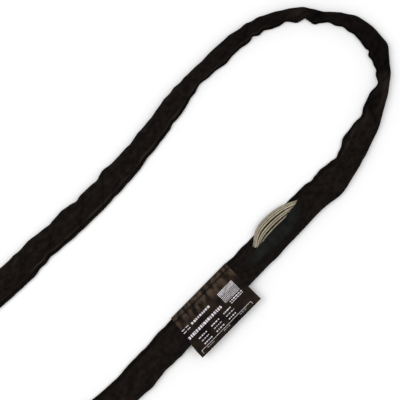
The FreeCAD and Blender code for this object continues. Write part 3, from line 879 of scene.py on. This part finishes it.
def cable_turn(number, shift, squeeze):
    """One turn of the core, stranded where it shows."""
    near, lean, path = turn_route(number, shift, squeeze)
    ahead = unit(np.roll(path, -1, 0) - np.roll(path, 1, 0))
    side = unit(np.cross(ahead, (0, 0, 1)))
    up = np.cross(side, ahead)
    angles = np.linspace(0, 2 * math.pi, STRANDS * 6, endpoint=False)[None, :]
    twist = (near / CABLE_LAY * 2 * math.pi + number)[:, None]
    shown = smoothstep(0.088, 0.078, np.abs(near))[:, None]
    groove = 0.5 - 0.5 * np.cos(STRANDS * (angles - twist))
    radii = CABLE_RADIUS * (1 - GROOVE_DEPTH * shown * groove ** 2)
    out = side[:, None] * np.cos(angles)[..., None] + up[:, None] * np.sin(angles)[..., None]
    points = path[:, None] + out * radii[..., None]
    name = f"core_turn_{number}"
    mesh = grid_mesh(name, points, 2 * math.pi * CABLE_RADIUS, loop.length, True, True, True)
    # Painted shade: each ring darker towards its sides, and the turns that lie deep under the
    # others darker as they lean into the window.
    depth = 0.5 if number in DEEP_TURNS else 0
    mark(mesh, "side", 1 - np.sin(angles) + depth * lean[:, None])
    new_piece(f"cable_turn_{number}", mesh, "sling", "core_cable", CABLE, name)


def narrowest(reach):
    """The least reach within 13 mm of each station."""
    stations = round(0.013 / STATION_STEP)
    return np.min([np.roll(reach, i) for i in range(-stations, stations + 1)], axis=0)


def core(skin):
    """The turns of cable, and the finishes of the core's hard parts."""
    inner = narrowest(skin.inner[:, 0])
    outer = narrowest(skin.outer[:, 0])
    shift = (inner - outer) / 2
    room = (inner + outer) / 2 - JACKET_CLOTH - INNER_INSET
    squeeze = np.clip(room / CORE_HALF_WIDTH, 0.6, 1)
    for number in range(1, len(TURNS) + 1):
        cable_turn(number, shift, squeeze)
    paint("splice_sleeve", SLEEVE)
    for number in range(1, 5):
        paint(f"core_tie_{number}", TAPE)


def paint(node, finish):
    """Gives a CAD part that is shown as it is a finish."""
    for material_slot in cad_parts[node].material_slots:
        material_slot.material = finish


# -------------------------------- stitches


def stitches(name, node, body, centres, ahead, normal, length, radius):
    """Short threads at these centres that dip into the cloth at both ends."""
    ahead = np.broadcast_to(ahead, centres.shape)
    normal = np.broadcast_to(normal, centres.shape)
    across = np.cross(ahead, normal)
    shares = np.linspace(0, 1, 7)
    turns = np.linspace(0, 2 * math.pi, 6, endpoint=False)
    rings = []
    for share in shares:
        swell = math.sin(math.pi * min(max(share, 0.08), 0.92)) ** 0.5
        spine = centres + ahead * (share - 0.5) * length + normal * radius * (swell - 1)
        for turn in turns:
            out = across * math.cos(turn) + normal * math.sin(turn)
            rings.append(spine + out * radius * swell)
    points = np.array(rings).transpose(1, 0, 2)
    count, size = points.shape[:2]
    faces = grid_faces(len(shares), len(turns), False, True)[0].tolist()
    faces.append(list(range(len(turns)))[::-1])
    faces.append(list(range(size - len(turns), size)))
    every = [[i * size + corner for corner in face[::-1]] for i in range(count) for face in faces]
    uvs = points.reshape(-1, 3)[np.concatenate(every), :2]
    return new_piece(name, cloth_mesh(name, points, every, uvs), body, "thread", THREAD, node)


def seam_stitches(name, node, skin, height, normal):
    """The seam's stitches on one side of the flange, from one end of the window to the other."""
    count = round(loop.length / SEAM_PITCH)
    along = np.arange(count) * loop.length / count
    along = along[np.abs(loop.past(WINDOW_AT, along)) > WINDOW_HALF + 0.0030]
    aside = loop.read(skin.inner[:, 0], along) + SEAM_INSET
    centres = loop.place(along, aside, height)
    ahead = unit(loop.place(along + MM, aside, height) - centres)
    stitches(name, node, "sling", centres, ahead, normal, SEAM_PITCH * 0.86, radius=0.0003)


def joint_stitches(skin):
    """Rows of stitches across the leg, where the two ends of the sleeve are closed."""
    row, place = np.meshgrid(np.arange(-1, 2), np.arange(-2, 3))
    centres = joint_leg.place(row.ravel() * STITCH_PITCH, place.ravel() * STITCH_PITCH, 0)
    centres[:, 2] = skin.height_over(centres) + 0.0001
    stitches("joint_stitches", "joint_stitching", "sling", centres, joint_leg.turned(0, 1, 0), UP,
             STITCH_LENGTH, radius=0.00028)


# -------------------------------- the inspection window


class Leg:
    """A straight stretch of the loop: x back along it, y towards the inside, z up."""

    def __init__(self, run, share):
        start = np.array(ROUTE[run][:2])
        end = np.array(ROUTE[run + 1][:2])
        self.origin = np.array([*(start + (end - start) * share), 0])
        self.back = unit(start - end)
        self.aside = np.array([-self.back[1], self.back[0]])

    def turned(self, x, y, z):
        """A way in this leg's frame, turned to its way in space."""
        x, y, z = np.broadcast_arrays(x, y, z)
        flat = x[..., None] * self.back + y[..., None] * self.aside
        return np.concatenate([flat, z[..., None]], -1)

    def place(self, x, y, z):
        return self.origin + self.turned(x, y, z)


UP = np.array([0, 0, 1])

# Each leg's run of the route, and how far along it the leg's zero lies.
window_leg = Leg(17, 0.55)
tag_leg = Leg(18, 0.47)
joint_leg = Leg(21, 0.5)


def flap_lines(x):
    """Where the flap is folded and where its free edge lies, at each x."""
    fold = np.minimum(read_table(LIP, x) * MM, 0.0140) - FLAP_HIDDEN
    fold = np.where(x < -0.025, STRAIGHT_FOLD, fold)
    return fold, np.minimum(read_table(FLAP_EDGE, x) * MM, fold - 0.0003)


def strip_lines(x):
    """Where the hook strip's edges lie on the flap, clear of the part of the fold that stays."""
    fold, edge = flap_lines(x)
    top = np.minimum(fold, STRAIGHT_FOLD) - 0.0010
    return top, np.minimum(edge + 0.0030, top - 0.0003)


def flap_height(skin, x, y):
    """Height of the flap's cloth where it lies on the body."""
    return np.maximum(skin.height_over(window_leg.place(x, y, 0)), FLAP_LOWEST) + FLAP_GAP


def window_flap(skin):
    """The upper lip, folded back on to the body with its inner face up."""
    x = np.linspace(-FLAP_END, FLAP_END, 100)[:, None]
    fold, edge = flap_lines(x)
    curl = np.linspace(-math.pi / 2, math.pi / 2, 10)[None, :]
    radius = np.interp(smoothstep(0.050, 0.042, np.abs(x)), (0, 1), FLAP_CURL)
    turning = np.minimum(fold - 0.0004, STRAIGHT_FOLD - 0.0002)
    stays = fold + np.linspace(0, 1, 5)[None, 1:] * (turning - fold)
    turns = turning + np.linspace(0, 1, 24)[None, 1:] * (edge - turning)
    y_flat = np.concatenate([stays, turns], 1)
    z_flat = flap_height(skin, x, y_flat)
    z_fold = flap_height(skin, x, fold)
    y = np.concatenate([fold + radius * np.cos(curl), y_flat], 1)
    z = np.concatenate([z_fold - radius + radius * np.sin(curl), z_flat], 1)
    mesh = grid_mesh("window_flap", window_leg.place(x, y, z), 0.026, 2 * FLAP_END, flip=True)
    piece = new_piece("window_flap_cloth", mesh, None, "jacket_cloth", FLAP, "window_flap")
    thicken(piece, FLAP_CLOTH, 0)
    fold_height = z_fold.mean()
    start = window_leg.place(0, 0.0091, fold_height - 0.0009)
    end = window_leg.place(0, 0.0086, fold_height)
    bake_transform(piece)
    return piece


def hook_strip(skin):
    """The closure strip on the flap."""
    x = np.linspace(-1, 1, 110)[:, None] * (FLAP_END - 0.0032)
    top, low = strip_lines(x)
    y = top + np.linspace(0, 1, 20)[None, :] * (low - top)
    z = flap_height(skin, x, y) + 0.00027
    mesh = grid_mesh("flap_hook_strip", window_leg.place(x, y, z), 0.019, 0.108, flip=True)
    piece = new_piece("flap_hook_strip_cloth", mesh, "flap", "hook_and_loop", CLOSURE,
                      "flap_hook_strip")
    thicken(piece, HOOK_CLOTH, 1)
    return piece


def flap_stitches(skin):
    """Stitches along both edges of the hook strip."""
    x = np.linspace(-0.050, 0.050, 41)
    top, low = strip_lines(x)
    rows = []
    runs = []
    for y in (top - 0.0012, np.minimum(low + 0.0014, top - 0.0020)):
        row = window_leg.place(x, y, flap_height(skin, x, y) + 0.00085)
        rows.append(row)
        runs.append(unit(np.gradient(row, axis=0)))
    return stitches("flap_stitches", "flap_stitching", "flap", np.concatenate(rows),
                    np.concatenate(runs), UP, length=0.0020, radius=0.0002)


def lip_strip():
    """The loop strip inside the lower lip, under the turns."""
    x = np.linspace(-0.040, 0.040, 60)[:, None]
    y = np.linspace(0.0086, 0.0178, 16)[None, :]
    z = 0.0010 + 0.0006 * smoothstep(0.014, 0.018, y) + 0 * x
    mesh = grid_mesh("lip_loop_strip", window_leg.place(x, y, z), 0.0092, 0.080)
    piece = new_piece("lip_loop_strip_cloth", mesh, "sling", "hook_and_loop", CLOSURE,
                      "lip_loop_strip")
    thicken(piece, LOOP_CLOTH, 0)


def bar_tacks(skin):
    """Dense stitches across the flange, one tack at each end of the opening."""
    offsets = np.linspace(-0.0011, 0.0011, 6)
    along = WINDOW_AT - np.concatenate([offsets - WINDOW_HALF, offsets + WINDOW_HALF])
    aside = loop.read(skin.inner[:, 0], along) + 0.0022
    centres = loop.place(along, aside, FLANGE_TOP + 0.0003)
    stitches("window_bar_tack_stitches", "window_bar_tacks", "sling", centres,
             window_leg.turned(0, 1, 0), UP, length=0.0042, radius=0.00026)


# -------------------------------- the label


def arc(centre, radius, first, last):
    """Points of an arc in the plane across the leg, from one angle to another in degrees."""
    turn = np.radians(np.linspace(first, last, 40))[:, None]
    return centre + radius * np.concatenate([np.cos(turn), np.sin(turn)], 1)


def label_line():
    """The label's outer face across the leg, from the hem's end under the flange, round the
    body's side and over it to the free edge: its points, and how far along it they lie."""
    fold_radius = LABEL_FOLD_RADIUS + LABEL_CLOTH
    side_radius = LABEL_SIDE_RADIUS + LABEL_CLOTH
    between = LABEL_SIDE - LABEL_FOLD
    growth = (side_radius - fold_radius) / np.linalg.norm(between)
    climb = math.atan2(between[1], between[0])
    tangent = math.degrees(climb - math.asin(growth)) - 90
    top = LABEL_SIDE[1] + side_radius
    hang = np.linspace(0, 1, 40)[:, None]
    line = np.concatenate([
        [[LABEL_HEM_END, LABEL_FOLD[1] - fold_radius]],
        arc(LABEL_FOLD, fold_radius, -90, tangent),
        arc(LABEL_SIDE, side_radius, tangent, 90),
        np.concatenate([-LABEL_SIDE[0] - hang * LABEL_HANG, top - LABEL_DROOP * hang ** 2], 1),
    ])
    distance = distances(line)
    places = np.linspace(0, distance[-1], round(distance[-1] / LABEL_CELL))
    return np.stack([np.interp(places, distance, column) for column in line.T], 1), places


def printed(u, v):
    """Whether the label is printed at u along it and v down it, in millimetres."""
    random = np.random.default_rng(7)
    ink = np.zeros(u.shape, bool)

    def block(left, right, top, bottom):
        inside = (u > left) & (u < right) & (v > top) & (v < bottom)
        np.logical_or(ink, inside, out=ink)

    def words(left, right, top, height):
        """A line of dashes as long as words."""
        while left < right:
            size = random.uniform(1.6, 3.8)
            block(left, min(left + size, right), top, top + height)
            left += size + random.uniform(0.9, 1.6)

    # A small mark, a broken bar and a heading.
    for left in (2, 9.5):
        for top in (22, 26):
            block(left, left + 5.5, top, top + 1.4)
    words(19, 55, 23.4, 3.0)
    words(2, 65, 35.0, 3.8)

    # The grid of inspection boxes and its two lines of small print.
    for column in range(14):
        for row in range(9):
            left = 73 + column * 2.0
            top = 21.4 + row * 2.0
            block(left, left + 1.4, top, top + 1.1)
    for top in (40.4, 43.2):
        words(78, 101, top, 1.2)

    # Three columns of figures.
    for left, right in ((12, 27), (36, 51), (60, 75)):
        for top in (46.0, 51.2, 56.4):
            words(left, right, top, 1.4)

    # The box along the free edge.
    block(2, 99, 61.0, 61.5)
    block(2, 2.5, 61.0, 66)
    block(98.5, 99, 61.0, 66)
    for left in (12, 44, 76):
        words(left, left + 12, 63.2, 1.0)
    return ink


def label_places(line, leaf):
    """The label's points along the leg, and in space with their gathers, wave and curl."""
    share = np.linspace(0, 1, round(2 * LABEL_HALF / LABEL_CELL))[:, None]
    y = line[None, :, 0]
    z = line[None, :, 1]
    down = smoothstep(0.024, LABEL_FREE_EDGE, y)
    left = -0.0525 - 0.0070 * down
    x = left + (0.0556 - left) * share
    gather = np.cos(2 * math.pi * x / 0.0090 + 1.5 * np.sin(x / 0.017))
    pucker = 0.00036 * gather * np.exp(-(leaf / 0.0085) ** 2)[None, :]
    curl = 0.0012 * smoothstep(0.030, 0.056, np.abs(x)) * smoothstep(-0.020, -0.0435, y)
    wave = 0.0005 * np.sin(x / 0.015 + y / 0.02) * smoothstep(-0.012, -0.040, y)
    slope = unit(np.gradient(line, axis=0))
    bulge = np.where(z > LABEL_LOOSE, pucker, 0)
    return x, tag_leg.place(x, y + bulge * slope[:, 1], z - bulge * slope[:, 0] + wave - curl)


def label():
    """The label's cloth: the hem, the stitch line and the printed leaf in one sheet."""
    line, distance = label_line()
    leaf = distance - distance[np.abs(line[:, 0] - LABEL_LEAF_START).argmin()]
    x, points = label_places(line, leaf)
    mesh = grid_mesh("label", points, distance[-1], 2 * LABEL_HALF)

    # Print goes on the leaf's outer face, and plain cloth on the face inside it.
    u = ((x + LABEL_HALF) / MM + 0 * line[:, 0])[:-1, :-1]
    v = (LABEL_TOP - line[:, 0] / MM + 0 * x)[:-1, :-1]
    ink = printed(u, v) & (line[:-1, 1] > LABEL_LOOSE) & (leaf[:-1] > 0)
    row = arc(LABEL_SIDE, LABEL_SIDE_RADIUS, LABEL_STITCH_ANGLE, LABEL_STITCH_ANGLE)[0]
    satin = satin_finish(distance[np.linalg.norm(line - row, axis=1).argmin()])
    piece = new_piece("label_cloth", mesh, None, "label_satin", satin, "tag_sewn_edge",
                      "tag_leaf")
    for extra in (INK, satin, satin):
        mesh.materials.append(extra)
    mesh.polygons.foreach_set("material_index", ink.astype(int).ravel())
    cloth = thicken(piece, LABEL_CLOTH, -1)
    cloth.material_offset = 2
    cloth.material_offset_rim = 2
    start, end = (
        tag_leg.place(0, *arc(LABEL_SIDE, LABEL_SIDE_RADIUS, angle, angle)[0]) for angle in (46, 54)
    )
    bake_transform(piece)
    return piece


def label_stitches():
    """The row of stitches through the label, just below the leaf."""
    face = LABEL_SIDE_RADIUS + LABEL_CLOTH + 0.0001
    y, z = arc(LABEL_SIDE, face, LABEL_STITCH_ANGLE, LABEL_STITCH_ANGLE)[0]
    x = (np.arange(24) - 11.5) * STITCH_PITCH
    turn = math.radians(LABEL_STITCH_ANGLE)
    normal = tag_leg.turned(0, math.cos(turn), math.sin(turn))
    return stitches("label_stitches", "tag_stitching", "sling", tag_leg.place(x, y, z),
                    tag_leg.turned(1, 0, 0), normal, STITCH_LENGTH, radius=0.00026)


# -------------------------------- make the pieces

make_camera()
make_studio()
jacket_skin = Skin()
outer_jacket(jacket_skin)
inner_jacket()
seam_stitches("seam_needle_stitches", "seam_needle_thread", jacket_skin, FLANGE_TOP + 0.0002, UP)
seam_stitches("seam_bobbin_stitches", "seam_bobbin_thread", jacket_skin, FLANGE_LOW - 0.0002, -UP)
joint_stitches(jacket_skin)
core(jacket_skin)

flap = window_flap(jacket_skin)
strip = hook_strip(jacket_skin)
sewn = flap_stitches(jacket_skin)
lip_strip()
bar_tacks(jacket_skin)

leaf = label()
leaf_thread = label_stitches()
